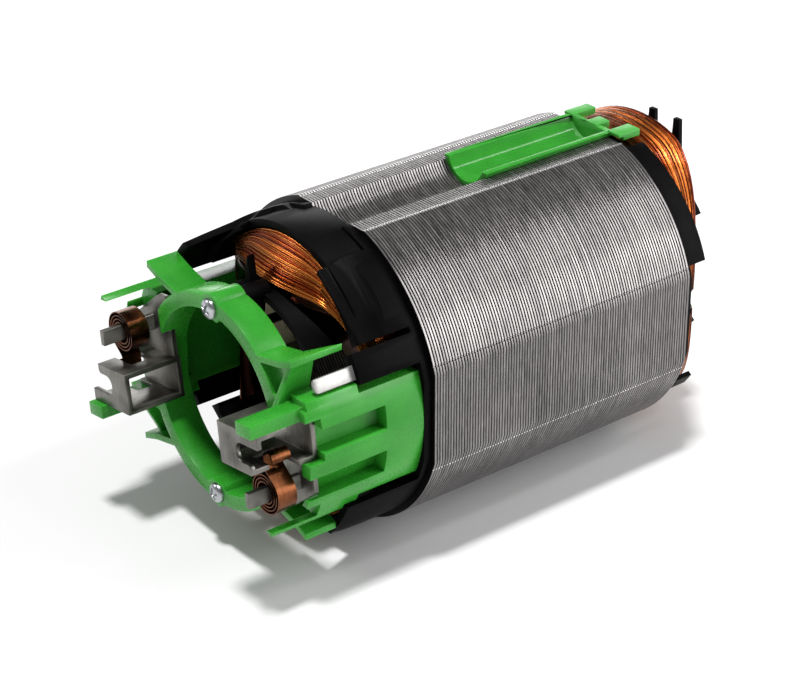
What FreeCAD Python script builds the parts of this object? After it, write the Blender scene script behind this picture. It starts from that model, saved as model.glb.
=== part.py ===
import FreeCAD, Part
import math
import os
import Sketcher

# Wound stator of a small universal motor, in millimetres.
# The motor axis is X and the brush end points to -X. Z is up, and the origin is the middle of the rotor bore.
# A clock angle starts at -Y, passes +Z at 90 degrees and +Y at 180 degrees.
# The end parts look the same after half a turn about the motor axis.

SIZES = {
    # Lamination stack
    "stack_length": 63.7,
    "stack_radius": 32.0,
    "flat_depth": 1.35,
    "bore_radius": 17.8,
    "pole_tip_back": 20.2,
    "pole_width": 25.0,
    "pole_gap": 12.2,
    "yoke_wall": 5.8,
    "channel_radius": 6.5,
    "channel_depth": 5.5,
    "land_width": 18.98,
    "land_step": 0.3,
    # Slot liners
    "liner_wall": 0.35,
    "liner_fit": 0.1,
    "liner_overhang": 1.0,
    # Coils
    "coil_fit": 0.15,
    "coil_gap": 2.4,
    "coil_lip": 3.0,
    "coil_rise_centre": 4.7,
    "coil_head": 15.0,
    "coil_drop": 2.2,
    "coil_slope": 9.2,
    "coil_slope_depth": 5.0,
    "coil_shoulder": 3.0,
    "coil_head_rear": 16.3,
    "coil_drop_rear": 0.85,
    "coil_slope_rear": 3.5,
    "coil_slope_depth_rear": 1.6,
    "coil_shoulder_rear": 6.0,
    # Moulded end insulators
    "flange_wall": 1.8,
    "rear_flange_wall": 1.4,
    "flange_step": 1.1,
    "flange_inset": 0.8,
    "former_fit": 0.5,
    "former_wall": 1.4,
    "former_arc": 104.0,
    "former_reach": 16.8,
    "rear_former_reach": 17.6,
    "boss_radius": 2.1,
    "ledge_wall": 2.9,
    "ledge_reach": 15.2,
    "ledge_start": 22.5,
    "ledge_end": 33.0,
    "wing_wall": 1.5,
    "wing_reach": 18.0,
    "wing_bottom": 12.8,
    "wing_shoulder": 21.1,
    "wing_step_reach": 8.5,
    "wing_step": 23.7,
    "wing_tip_reach": 3.0,
    "wing_tip": 29.0,
    "cheek_reach": 10.0,
    "cheek_wall": 1.4,
    "cheek_fit": 0.3,
    "cheek_start": 38.0,
    "cove_reach": 12.0,
    "cove_round": 10.0,
    "cove_lift": 7.5,
    "cove_start": 35.0,
    "cove_end": 66.0,
    "peg_side": 7.0,
    "peg_width": 2.0,
    "peg_top": 1.2,
    "finger_wall": 1.6,
    "finger_width": 2.4,
    "finger_side": 2.0,
    "finger_root": 19.0,
    "finger_height": 25.5,
    "rear_wall": 1.0,
    "rear_wall_reach": 5.6,
    "rear_wall_start": 20.0,
    "rear_wall_end": 71.0,
    "rear_peg_reach": 6.8,
    "rear_peg_clock": -35.7,
    "rear_peg_width": 3.0,
    "fin_wall": 1.0,
    "fin_width": 1.6,
    "fin_drop": 0.5,
    "fin_right": -8.0,
    "fin_left": -1.0,
    # Brush carrier
    "ring_front": 27.4,
    "ring_depth": 6.4,
    "ring_inner": 18.4,
    "ring_outer": 21.3,
    "ring_throat": 17.3,
    "lobe_radius": 2.9,
    "plate_step": 1.1,
    "plate_wall": 4.0,
    "plate_front": 26.6,
    "plate_top": 10.0,
    "plate_bottom": 11.2,
    "lower_step_bottom": 12.6,
    "step_rear": 15.3,
    "step_top": 11.6,
    "web_inner": 18.0,
    "shelf_inner": 13.4,
    "shelf_inner_level": 14.4,
    "shelf_bend": 20.4,
    "shelf_bend_level": 16.0,
    "shelf_reach": 24.5,
    "shelf_tip_level": 17.5,
    "shelf_wall": 1.3,
    "shelf_fit": 0.1,
    "shelf_rear": 16.2,
    "shelf_root": 21.6,
    "lug_front": 25.0,
    "recess_depth": 3.0,
    "recess_end": 10.2,
    "upper_recess_top": 6.2,
    "upper_recess_bottom": 1.5,
    "lower_recess_top": 2.9,
    "lower_recess_bottom": 7.7,
    "rail_front": 38.0,
    "rail_rear": 17.0,
    "rail_inner": 23.4,
    "rail_width": 4.4,
    "rail_height": 2.5,
    "lower_rail_front": 34.0,
    "lower_rail_inner": 26.2,
    "lower_rail_start": -27.0,
    "lower_rail_end": -24.6,
    "gusset_front": 30.6,
    "gusset_rear": 23.0,
    "gusset_apex": 25.2,
    "gusset_side": 21.2,
    "gusset_wall": 1.3,
    # Brush holders
    "brush_angle": 8.0,
    "holder_sheet": 1.0,
    "box_width": 8.2,
    "box_front": 36.7,
    "box_rear": 24.2,
    "box_inner_end": 15.3,
    "box_outer_end": 27.5,
    "box_fit": 0.05,
    "entry_inner": 20.5,
    "entry_top": 1.6,
    "entry_bottom": 2.2,
    "entry_round": 1.8,
    "lobe_end": 24.7,
    "lobe_round": 0.8,
    "window_inner": 22.7,
    "window_front": 30.2,
    "window_rear": 26.4,
    "window_round": 0.9,
    "slot_end": 19.0,
    "seat_inner": 15.8,
    "seat_corner": 16.2,
    "seat_corner_outer": 18.7,
    "seat_outer": 26.6,
    "seat_side": 11.0,
    "seat_bottom": 16.1,
    "seat_rise": 13.6,
    "post_tip": 36.5,
    "post_wall": 1.2,
    "post_width": 3.0,
    # Spiral springs
    "spring_radius": 4.0,
    "spring_inner_radius": 1.8,
    "spring_turns": 3,
    "spring_strip": 0.2,
    "spring_width": 4.0,
    "spring_place": 21.95,
    "spring_level": 9.84,
    "spring_front": 32.5,
    "spring_fit": 0.3,
    "tail_turn": 45.0,
    "tail_run": 2.55,
    "tail_bend": 1.5,
    "tail_rise": 1.6,
    "curl_radius": 1.4,
    "curl_sweep": 200.0,
    # Contact tabs
    "tab_front": 24.0,
    "tab_width": 2.7,
    "tab_wall": 0.8,
    "tab_clock": 26.8,
    "tab_round": 0.9,
    "tab_foot": 0.8,
    "tab_fit": 0.05,
    # Screws
    "screw_place": 19.4,
    "screw_head_radius": 1.95,
    "screw_head_height": 1.2,
    "screw_shank_radius": 1.1,
    "screw_length": 10.0,
    "screw_fit": 0.1,
    # Channel liner
    "trough_front": 32.2,
    "trough_wall": 1.2,
    "trough_fit": 0.05,
    "trough_drop": 0.7,
    "trough_end_wall": 1.3,
    "hook_left_rear": 6.3,
    "hook_left_side": 4.5,
    "hook_left_width": 2.6,
    "hook_middle_rear": 3.8,
    "hook_middle_side": -2.3,
    "hook_middle_width": 3.0,
    "hook_right_rear": 5.7,
    "hook_right_side": -9.0,
    "hook_right_width": 3.4,
    "hook_front": 0.2,
    "hook_drop": 1.8,
    "hook_foot": 1.05,
    "hook_rise": 0.4,
}

doc = FreeCAD.newDocument("wound_stator")
sheet = doc.addObject("Spreadsheet::Sheet", "Sizes")
for row, (alias, value) in enumerate(SIZES.items(), start=1):
    sheet.set("A%d" % row, alias)
    sheet.set("B%d" % row, str(value))
    sheet.setAlias("B%d" % row, alias)
doc.recompute()

parts = {}
AXIS = FreeCAD.Vector(1, 0, 0)
FRONT = "-Sizes.stack_length / 2"
REAR = "Sizes.stack_length / 2"
ACROSS = ("-2 * Sizes.stack_radius", "2 * Sizes.stack_radius")
HALF_FLATS = "(Sizes.stack_radius - Sizes.flat_depth)"
YOKE_INNER = "(Sizes.stack_radius - Sizes.yoke_wall)"
CHANNEL_CENTRE = "(Sizes.stack_radius - Sizes.channel_depth + Sizes.channel_radius)"
FLANGE = "(Sizes.stack_radius - Sizes.flange_step)"
PLATE = "(%s - Sizes.plate_step)" % FLANGE
COIL_RISE = "(%s - Sizes.coil_rise_centre - Sizes.coil_drop)" % FLANGE
COIL_RISE_REAR = "(%s - Sizes.coil_rise_centre - Sizes.coil_drop_rear)" % FLANGE


def size(alias):
    return float(sheet.get(alias))


def number(text):
    return float(sheet.evalExpression(text))


def ahead(text):
    # A place in front of the stack's front face.
    return "%s - (%s)" % (FRONT, text)


def behind(text):
    # A place behind the stack's rear face.
    return "%s + (%s)" % (REAR, text)


def past(x):
    # The same stretch, run on at both ends so that a cutter leaves no skin.
    return ("%s - Sizes.flange_wall" % x[0], "%s + Sizes.flange_wall" % x[1])


def bind(item, **links):
    for key, text in links.items():
        item.setExpression(key.replace("__", "."), text)
    return item


def block(name, x, y, z):
    # A box between two expressions on each axis.
    item = doc.addObject("Part::Box", name)
    bind(item, Length="(%s) - (%s)" % (x[1], x[0]))
    bind(item, Width="(%s) - (%s)" % (y[1], y[0]))
    bind(item, Height="(%s) - (%s)" % (z[1], z[0]))
    bind(item, Placement__Base__x=x[0], Placement__Base__y=y[0], Placement__Base__z=z[0])
    return item


def rod(name, radius, x, y="0", z="0"):
    # A round bar along the motor axis.
    item = doc.addObject("Part::Cylinder", name)
    item.Placement = FreeCAD.Placement(FreeCAD.Vector(), FreeCAD.Rotation(FreeCAD.Vector(0, 1, 0), 90))
    bind(item, Radius=radius, Height="(%s) - (%s)" % (x[1], x[0]))
    bind(item, Placement__Base__x=x[0], Placement__Base__y=y, Placement__Base__z=z)
    return item


def sector(name, inner, outer, x, start, end):
    # A curved wall about the motor axis, between two clock angles in degrees.
    item = rod(name + "_slice", outer, x)
    turn = FreeCAD.Rotation(AXIS, 270 - end)
    item.Placement = FreeCAD.Placement(item.Placement.Base, turn.multiply(item.Placement.Rotation))
    item.Angle = end - start
    return cut(name, item, rod(name + "_core", inner, past(x)))


def cut(name, base, tool):
    item = doc.addObject("Part::Cut", name)
    item.Base = base
    item.Tool = tool
    return item


def fuse(name, *pieces):
    item = doc.addObject("Part::MultiFuse", name)
    item.Shapes = list(pieces)
    item.Refine = True
    return item


def common(name, *pieces):
    item = doc.addObject("Part::MultiCommon", name)
    item.Shapes = list(pieces)
    return item


def compound(name, *pieces):
    item = doc.addObject("Part::Compound", name)
    item.Links = list(pieces)
    return item


def turned(item, degrees=180):
    item.Placement = FreeCAD.Placement(FreeCAD.Vector(), FreeCAD.Rotation(AXIS, degrees))
    return item


def keep(item, label):
    item.Label = label
    parts[label] = item
    return item


def corners(sketch, points):
    # A closed run of straight edges, with each corner tied to the sheet.
    spots = [FreeCAD.Vector(number(x), number(y), 0) for x, y in points]
    for index, spot in enumerate(spots):
        sketch.addGeometry(Part.LineSegment(spot, spots[(index + 1) % len(spots)]), False)
    for index, (x, y) in enumerate(points):
        sketch.addConstraint(Sketcher.Constraint("Coincident", index, 2, (index + 1) % len(points), 1))
        for kind, text in (("DistanceX", x), ("DistanceY", y)):
            place = sketch.addConstraint(Sketcher.Constraint(kind, -1, 1, index, 1, number(text)))
            sketch.setExpression("Constraints[%d]" % place, text)
    return sketch


def body_sketch(owner, name, role, level, points):
    # An outline on one of the body's own origin planes, moved along the plane's normal.
    sketch = owner.newObject("Sketcher::SketchObject", name)
    sketch.AttachmentSupport = [(next(o for o in owner.Origin.OriginFeatures if o.Role == role), "")]
    sketch.MapMode = "FlatFace"
    bind(sketch, AttachmentOffset__Base__z=level)
    return corners(sketch, points)


def feature(owner, kind, name, profile, **links):
    item = owner.newObject("PartDesign::" + kind, name)
    item.Profile = profile
    return bind(item, **links)


def round_edges(owner, name, radius, picked):
    # Rounds those edges of the body so far that the test picks.
    doc.recompute()
    base = owner.Tip
    edges = ["Edge%d" % (n + 1) for n, edge in enumerate(base.Shape.Edges) if picked(edge)]
    item = owner.newObject("PartDesign::Fillet", name)
    item.Base = (base, edges)
    return bind(item, Radius=radius)


def prism(name, across, start, end, points):
    # A straight-edged outline pushed along X, Y or Z.
    sketch = doc.addObject("Sketcher::SketchObject", name + "_outline")
    x, y, z = FreeCAD.Vector(1, 0, 0), FreeCAD.Vector(0, 1, 0), FreeCAD.Vector(0, 0, 1)
    if across == "x":
        sketch.Placement.Rotation = FreeCAD.Rotation(y, z, x, "ZXY")
        bind(sketch, Placement__Base__x=start)
    elif across == "y":
        sketch.Placement.Rotation = FreeCAD.Rotation(x, z, y.negative(), "ZXY")
        bind(sketch, Placement__Base__y=end)
    else:
        bind(sketch, Placement__Base__z=start)
    corners(sketch, points)
    item = doc.addObject("Part::Extrusion", name)
    item.Base = sketch
    item.DirMode = "Normal"
    item.Solid = True
    return bind(item, LengthFwd="(%s) - (%s)" % (end, start))


def slot_space(name, x, grow="0"):
    # The two winding slots between the poles, left and right, with an allowance taken off every wall.
    ring = cut(
        name + "_ring",
        rod(name + "_outer", YOKE_INNER + " - (%s)" % grow, x),
        rod(name + "_inner", "Sizes.pole_tip_back + (%s)" % grow, past(x)),
    )
    width = "Sizes.pole_width / 2 + (%s)" % grow
    pole = block(name + "_pole", past(x), ("-(%s)" % width, width), ACROSS)
    return cut(name, ring, pole)


def channels(name, x, grow="0"):
    # The round channels along the back of the two poles.
    radius = "Sizes.channel_radius + (%s)" % grow
    return [
        rod(name + "_top_channel", radius, x, "0", CHANNEL_CENTRE),
        rod(name + "_bottom_channel", radius, x, "0", "-" + CHANNEL_CENTRE),
    ]


def slot_mouths(name, x):
    # The gaps between the pole tips, left and right, that join the bore to the slots.
    reach = "(Sizes.pole_tip_back + %s) / 2" % YOKE_INNER
    return block(name, x, ("-%s" % reach, reach), ("-Sizes.pole_gap / 2", "Sizes.pole_gap / 2"))


def lamination_stack():
    x = (FRONT, REAR)
    round_sheet = rod("stack_round", "Sizes.stack_radius", x)
    flats = block("stack_flats", x, ("-" + HALF_FLATS, HALF_FLATS), ACROSS)
    half = "Sizes.land_width / 2"
    land = "sqrt(Sizes.stack_radius ^ 2 - (%s) ^ 2) - Sizes.land_step" % half
    hollows = fuse(
        "stack_hollows",
        rod("stack_bore", "Sizes.bore_radius", past(x)),
        slot_space("stack_slots", past(x)),
        slot_mouths("stack_mouths", past(x)),
        *channels("stack", past(x)),
        block("top_land", past(x), ("-%s" % half, half), (land, ACROSS[1])),
        block("bottom_land", past(x), ("-%s" % half, half), (ACROSS[0], "-(%s)" % land)),
    )
    keep(cut("stack", common("stack_sheet", round_sheet, flats), hollows), "lamination_stack")


def slot_liners():
    # Four folded insulating papers that line the slots, one round each coil side.
    x = (ahead("Sizes.liner_overhang"), behind("Sizes.liner_overhang"))
    near, far = (ACROSS[0], "0"), ("0", ACROSS[1])
    above, below = ("Sizes.coil_gap / 2", ACROSS[1]), (ACROSS[0], "-Sizes.coil_gap / 2")
    quarters = {
        "slot_liner_upper_right": (near, above),
        "slot_liner_upper_left": (far, above),
        "slot_liner_lower_right": (near, below),
        "slot_liner_lower_left": (far, below),
    }
    for label, (y, z) in quarters.items():
        paper = cut(
            label + "_paper",
            slot_space(label + "_outside", x, "Sizes.liner_fit"),
            slot_space(label + "_inside", past(x), "Sizes.liner_fit + Sizes.liner_wall"),
        )
        keep(common(label + "_fold", paper, block(label + "_quarter", x, y, z)), label)


def coil_head(name, face, rise, end, rear):
    # The turns that cross in front of a pole: an arch that slopes back to its crown and towards both ends.
    length, slope_out, slope_in = "Sizes.coil_head" + end, "Sizes.coil_slope" + end, "Sizes.coil_slope_depth" + end
    gap = "Sizes.flange_wall + Sizes.liner_fit" if not rear else "Sizes.rear_flange_wall + Sizes.liner_fit"
    x = (ahead(length), ahead(gap)) if not rear else (behind(gap), behind(length))
    inner = "Sizes.bore_radius + 2 * Sizes.former_fit + Sizes.former_wall"
    arch = cut(
        name + "_arch",
        rod(name + "_crown", rise, x, "0", "Sizes.coil_rise_centre"),
        rod(name + "_hollow", inner, past(x)),
    )
    slope = doc.addObject("Part::Cone", name + "_slope")
    quarter = -90 if rear else 90
    slope.Placement = FreeCAD.Placement(FreeCAD.Vector(), FreeCAD.Rotation(FreeCAD.Vector(0, 1, 0), quarter))
    bind(slope, Radius1="%s - %s" % (rise, slope_out), Height=length)
    bind(slope, Radius2="%s - %s + %s * %s / %s" % (rise, slope_out, slope_out, length, slope_in))
    bind(slope, Placement__Base__x=x[1] if rear else x[0], Placement__Base__z="Sizes.coil_rise_centre")
    side = "(%s + Sizes.coil_shoulder%s)" % (rise, end)
    sweep = "(%s * %s / (2 * %s) + %s / 2)" % (side, side, length, length)
    ends = doc.addObject("Part::Cylinder", name + "_ends")
    bind(ends, Radius=sweep, Height=ACROSS[1])
    bind(ends, Placement__Base__x="%s - %s" % (x[1], sweep) if rear else "%s + %s" % (x[0], sweep))
    bind(ends, Placement__Base__z="Sizes.coil_gap / 2")
    return common(name, arch, slope, ends)


def coil(label, degrees):
    lip = "Sizes.flange_wall + Sizes.coil_lip"
    x = (ahead(lip), behind(lip))
    room = "Sizes.liner_fit + Sizes.liner_wall + Sizes.coil_fit"
    sides = common(
        label + "_sides",
        slot_space(label + "_room", x, room),
        block(label + "_half", x, ACROSS, ("Sizes.coil_gap / 2", ACROSS[1])),
    )
    front = coil_head(label + "_front", FRONT, COIL_RISE, "", False)
    rear = coil_head(label + "_rear", REAR, COIL_RISE_REAR, "_rear", True)
    keep(turned(fuse(label + "_winding", sides, front, rear), degrees), label)


def flange(name, x):
    # The moulded plate that covers the stack's end, open over the bore, the slots and the channels.
    half = "%s - Sizes.flange_inset" % HALF_FLATS
    plate = common(
        name + "_plate",
        rod(name + "_round", FLANGE, x),
        block(name + "_flats", x, ("-(%s)" % half, half), ACROSS),
    )
    hollows = fuse(
        name + "_hollows",
        rod(name + "_bore", "Sizes.bore_radius + Sizes.former_fit", past(x)),
        slot_space(name + "_slots", past(x)),
        slot_mouths(name + "_mouths", past(x)),
        *channels(name, past(x)),
    )
    return cut(name, plate, hollows)


def formers(name, x):
    # Two curved walls, over the top and bottom poles, that the coils bend round.
    inner = "Sizes.bore_radius + Sizes.former_fit"
    half = size("former_arc") / 2
    top = sector(name + "_top", inner, inner + " + Sizes.former_wall", x, 90 - half, 90 + half)
    bottom = sector(name + "_bottom", inner, inner + " + Sizes.former_wall", x, 270 - half, 270 + half)
    return [top, bottom]


def tab_space(name, grow):
    # The room of one contact tab's foot inside the front insulator.
    half = "Sizes.tab_width / 2 + %s" % grow
    foot = block(
        name,
        (ahead("Sizes.ledge_reach + Sizes.tab_fit"), ahead("Sizes.ledge_reach - Sizes.tab_foot - %s" % grow)),
        ("-%s - %s" % (PLATE, grow), "-%s + Sizes.tab_wall + %s" % (PLATE, grow)),
        ("-(%s)" % half, half),
    )
    return foot


def hood_wall():
    # The wall that arches over a coil head, and the hollow-cheeked shoulders that carry it on both sides.
    inner = COIL_RISE + " + Sizes.cheek_fit"
    core = "Sizes.pole_tip_back"
    arch_x, cove_x = (ahead("Sizes.cheek_reach"), FRONT), (ahead("Sizes.cove_reach"), FRONT)
    arch = cut(
        "arch",
        rod("arch_outer", inner + " + Sizes.cheek_wall", arch_x, "0", "Sizes.coil_rise_centre"),
        rod("arch_inner", inner, past(arch_x), "0", "Sizes.coil_rise_centre"),
    )
    start = size("cheek_start")
    arch = common("arch_span", arch, sector("arch_sector", core, FLANGE, arch_x, start, 180 - start))
    cove = cut(
        "cove_body",
        rod("cove_outer", FLANGE, cove_x),
        rod("cove_inner", inner, past(cove_x), "0", "Sizes.coil_rise_centre"),
    )
    start, end = size("cove_start"), size("cove_end")
    shoulders = []
    for side, first, last in (("right", start, end), ("left", 180 - end, 180 - start)):
        scoop = doc.addObject("Part::Cylinder", "cove_scoop_" + side)
        middle = FreeCAD.Rotation(AXIS, 90 - (first + last) / 2)
        scoop.Placement.Rotation = middle.multiply(FreeCAD.Rotation(FreeCAD.Vector(1, 0, 0), 90))
        height = FLANGE + " + Sizes.cove_lift"
        angle = math.radians((first + last) / 2)
        bind(scoop, Radius="Sizes.cove_round", Height="2 * " + FLANGE)
        bind(scoop, Placement__Base__x=cove_x[0])
        across, up = "%r" % math.cos(angle), "%r" % math.sin(angle)
        bind(scoop, Placement__Base__y="-(%s) * %s + %s * %s" % (height, across, FLANGE, up))
        bind(scoop, Placement__Base__z="(%s) * %s + %s * %s" % (height, up, FLANGE, across))
        span = sector("cove_" + side, core, FLANGE, cove_x, first, last)
        shoulders.append(cut("shoulder_" + side, common("cove_span_" + side, cove, span), scoop))
    return fuse("hood", arch, *shoulders)


def front_insulator():
    x = (ahead("Sizes.flange_wall"), FRONT)
    ledge_x = (ahead("Sizes.ledge_reach"), FRONT)
    ledge = sector("ledge", FLANGE + " - Sizes.ledge_wall", FLANGE, ledge_x, size("ledge_start"), size("ledge_end"))
    wing = common(
        "wing",
        cut(
            "wing_tube",
            rod("wing_outer", FLANGE, (ahead("Sizes.wing_reach"), FRONT)),
            rod("wing_inner", FLANGE + " - Sizes.wing_wall", past((ahead("Sizes.wing_reach"), FRONT))),
        ),
        prism("wing_side", "y", "0", ACROSS[1], [
            (FRONT, "Sizes.wing_bottom"),
            (ahead("Sizes.wing_reach"), "Sizes.wing_bottom"),
            (ahead("Sizes.wing_reach"), "Sizes.wing_shoulder"),
            (ahead("Sizes.wing_step_reach"), "Sizes.wing_step"),
            (ahead("Sizes.wing_tip_reach"), "Sizes.wing_tip"),
            (FRONT, "Sizes.wing_tip"),
        ]),
    )
    hood = hood_wall()
    finger_x = (ahead("Sizes.former_reach"), ahead("Sizes.former_reach - Sizes.finger_wall"))
    finger = prism("finger", "x", finger_x[0], finger_x[1], [
        ("Sizes.finger_side", "Sizes.finger_root"),
        ("Sizes.finger_side + Sizes.finger_width", "Sizes.finger_root"),
        ("Sizes.finger_side + Sizes.finger_width / 2", "Sizes.finger_height"),
    ])
    boss_x = (ahead("Sizes.ring_front - Sizes.ring_depth"), ahead("Sizes.former_reach - Sizes.finger_wall"))
    boss = rod("boss", "Sizes.boss_radius", boss_x, "0", "Sizes.screw_place")
    peg = block("peg", (ahead("Sizes.flange_wall"), FRONT),
                ("-Sizes.peg_side - Sizes.peg_width", "-Sizes.peg_side"),
                ("0.9 * %s" % FLANGE, "%s - Sizes.peg_top" % FLANGE))
    half = fuse("front_half", ledge, wing, hood, peg, finger, boss)
    whole = fuse(
        "front_moulding",
        flange("front_flange", x),
        *formers("front_former", (ahead("Sizes.former_reach"), FRONT)),
        half,
        turned(compound("front_half_copy", half)),
    )
    tab = turned(compound("tab_slot", tab_space("tab_foot_room", "Sizes.tab_fit")), -size("tab_clock"))
    pilot = rod("pilot", "Sizes.screw_shank_radius + Sizes.screw_fit", past(boss_x), "0", "Sizes.screw_place")
    slots = slot_space("front_slots", past(x))
    hollow = compound("front_hollow", tab, pilot)
    holes = fuse("front_holes", hollow, turned(compound("front_hollow_copy", hollow)), slots)
    keep(cut("front_insulator_solid", whole, holes), "front_insulator")


def rear_insulator():
    x = (REAR, behind("Sizes.rear_flange_wall"))
    wall_x = (REAR, behind("Sizes.rear_wall_reach"))
    inner = FLANGE + " - Sizes.rear_wall"
    wall = sector("rear_wall", inner, FLANGE, wall_x, size("rear_wall_start"), size("rear_wall_end"))
    clock = size("rear_peg_clock")
    spread = size("rear_peg_width")
    peg = sector("rear_peg", inner, FLANGE, (REAR, behind("Sizes.rear_peg_reach")), clock - spread, clock + spread)
    fin_x = (behind("Sizes.rear_former_reach - Sizes.fin_wall"), behind("Sizes.rear_former_reach"))
    fins = []
    for name in ("fin_right", "fin_left"):
        fins.append(prism(name, "x", fin_x[0], fin_x[1], [
            ("Sizes.%s - Sizes.fin_width" % name, "Sizes.bore_radius"),
            ("Sizes.%s + Sizes.fin_width" % name, "Sizes.bore_radius"),
            ("Sizes.%s + Sizes.fin_width / 2" % name, FLANGE + " - Sizes.fin_drop"),
            ("Sizes.%s - Sizes.fin_width / 2" % name, FLANGE + " - Sizes.fin_drop"),
        ]))
    bore = rod("fin_bore", "Sizes.bore_radius + Sizes.former_fit", past(fin_x))
    trimmed = cut("fins", fuse("fin_pair", *fins), bore)
    half = fuse("rear_half", wall, peg, trimmed)
    whole = fuse(
        "rear_moulding",
        flange("rear_flange", x),
        *formers("rear_former", (REAR, behind("Sizes.rear_former_reach"))),
        half,
        turned(compound("rear_half_copy", half)),
    )
    keep(cut("rear_insulator_solid", whole, slot_space("rear_slots", past(x))), "rear_insulator")


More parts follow.
